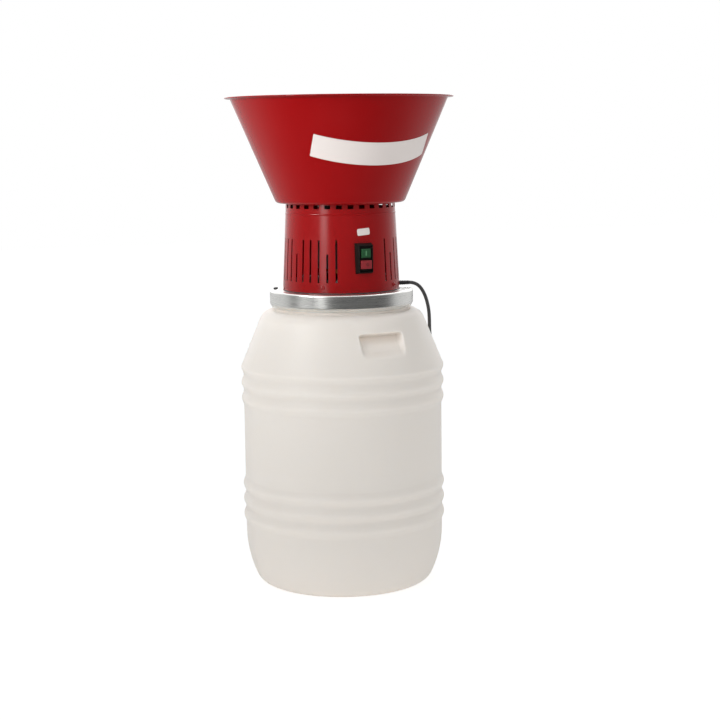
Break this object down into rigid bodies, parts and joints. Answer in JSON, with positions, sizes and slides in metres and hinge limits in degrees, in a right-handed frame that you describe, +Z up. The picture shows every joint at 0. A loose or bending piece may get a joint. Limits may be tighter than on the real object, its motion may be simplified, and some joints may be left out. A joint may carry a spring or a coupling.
{
  "type": "electric grain mill",
  "caption": "Electric grain mill: red cone hopper on a vented motor housing and metal lid, standing on a ribbed plastic flour barrel, with push buttons and a mains lead.",
  "frame": {"origin": "centre of the barrel's foot, on the floor", "axes": "+Z up along the axis of barrel, lid, motor and hopper; the switch faces -Y; the mains lead leaves near +X"},
  "size_m": [0.4, 0.5035, 0.86],
  "materials": {
    "barrel_plastic": "moulded translucent off-white polyethylene",
    "lid_steel": "bare drawn steel sheet",
    "red_paint": "smooth semi-gloss red coating on sheet steel",
    "black_plastic": "fine-grained black plastic",
    "green_plastic": "moulded green plastic",
    "red_plastic": "moulded red plastic",
    "rubber": "soft black rubber",
    "fastener_steel": "zinc-plated steel",
    "sheet_steel": "plain steel sheet",
    "machined_steel": "turned and ground steel",
    "core_steel": "stacked dark steel sheets",
    "cast_aluminium": "die-cast aluminium",
    "copper": "varnished copper wire and bars",
    "brass": "bright brass",
    "carbon": "pressed carbon",
    "capacitor_plastic": "dark grey moulded case"
  },
  "bodies": {
    "barrel": {"barrel": "barrel_plastic", "cord_coil": "rubber", "cord_tie": "rubber", "plug_body": "rubber", "plug_pins": "brass"},
    "head": {"lid": "lid_steel", "motor_housing": "red_paint", "hopper": "red_paint", "switch_body": "black_plastic", "switch_frame": "black_plastic", "lid_gasket": "rubber", "shaft_seal": "rubber", "strain_relief": "rubber", "power_cord": "rubber", "inner_lead": "rubber", "housing_screws": "fastener_steel", "hopper_screws": "fastener_steel", "hopper_nuts": "fastener_steel", "gate_pivot": "fastener_steel", "gate_nut": "fastener_steel", "motor_long_bolts": "fastener_steel", "motor_bolts": "fastener_steel", "motor_nuts": "fastener_steel", "sieve_studs": "fastener_steel", "wing_nuts": "fastener_steel", "brush_springs": "fastener_steel", "start_spring": "fastener_steel", "stop_spring": "fastener_steel", "mounting_ring": "sheet_steel", "feed_chute": "sheet_steel", "chamber_plate": "sheet_steel", "sieve": "sheet_steel", "chamber_floor": "sheet_steel", "lower_bearing_outer": "machined_steel", "upper_bearing_outer": "machined_steel", "stator_core": "core_steel", "motor_base": "cast_aluminium", "upper_bracket": "cast_aluminium", "field_coils": "copper", "brush_holders": "brass", "carbon_brushes": "carbon", "suppression_capacitor": "capacitor_plastic"},
    "rotor": {"motor_shaft": "machined_steel", "armature_core": "core_steel", "armature_windings": "copper", "commutator": "copper", "cooling_fan": "black_plastic", "lower_bearing_inner": "machined_steel", "upper_bearing_inner": "machined_steel", "bearing_balls": "machined_steel", "beater": "machined_steel", "beater_spacer": "machined_steel", "beater_washer": "fastener_steel", "beater_nut": "fastener_steel"},
    "gate": {"feed_gate": "sheet_steel", "gate_knob": "black_plastic"},
    "start_button": {"start_button": "green_plastic"},
    "stop_button": {"stop_button": "red_plastic"}
  },
  "joints": [
    {"name": "head_lift", "type": "slide", "parent": "barrel", "child": "head", "axis": [0, 0, 1], "range_m": [0, 0.16]},
    {"name": "rotor_spin", "type": "hinge", "parent": "head", "child": "rotor", "pos_m": [0, 0, 0.55], "axis": [0, 0, 1], "continuous": true},
    {"name": "gate_swing", "type": "hinge", "parent": "head", "child": "gate", "pos_m": [0, 0, 0.6785], "axis": [0, 0, -1], "range_deg": [0, 45]},
    {"name": "start_press", "type": "slide", "parent": "head", "child": "start_button", "axis": [0, 1, 0], "range_m": [0, 0.004], "stiffness_N_per_m": 400, "deforming": ["start_spring"]},
    {"name": "stop_press", "type": "slide", "parent": "head", "child": "stop_button", "axis": [0, 1, 0], "range_m": [0, 0.004], "stiffness_N_per_m": 400, "deforming": ["stop_spring"]}
  ]
}
